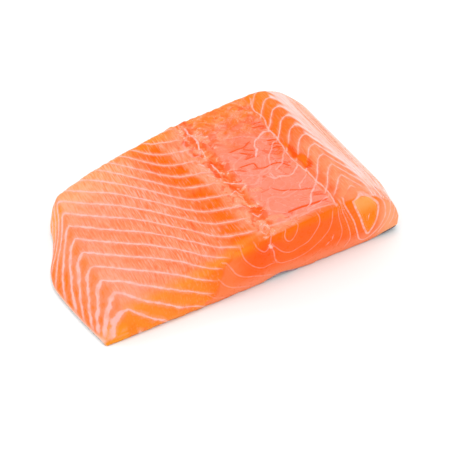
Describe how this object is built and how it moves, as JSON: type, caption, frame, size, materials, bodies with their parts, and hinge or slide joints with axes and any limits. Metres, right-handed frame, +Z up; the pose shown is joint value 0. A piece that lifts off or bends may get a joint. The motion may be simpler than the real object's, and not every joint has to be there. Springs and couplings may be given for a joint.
{
  "type": "raw salmon fillet",
  "caption": "Thick raw salmon fillet portion with its skin, cut straight across the side: rounded loin, torn midline, thinner belly, white bands between the muscle segments.",
  "frame": {"origin": "centre of the bounding box in plan, on the surface that the skin rests on", "axes": "+X from the belly edge to the back of the fish, +Y along the fish away from the near cut, +Z up"},
  "size_m": [0.1874, 0.1078, 0.0377],
  "materials": {
    "flesh": "wet raw fish, orange pink with pale bands",
    "skin": "wet scaled fish skin, silver at the belly and dark blue grey at the back"
  },
  "bodies": {
    "root": {"flesh": "flesh", "skin": "skin"}
  },
  "joints": []
}
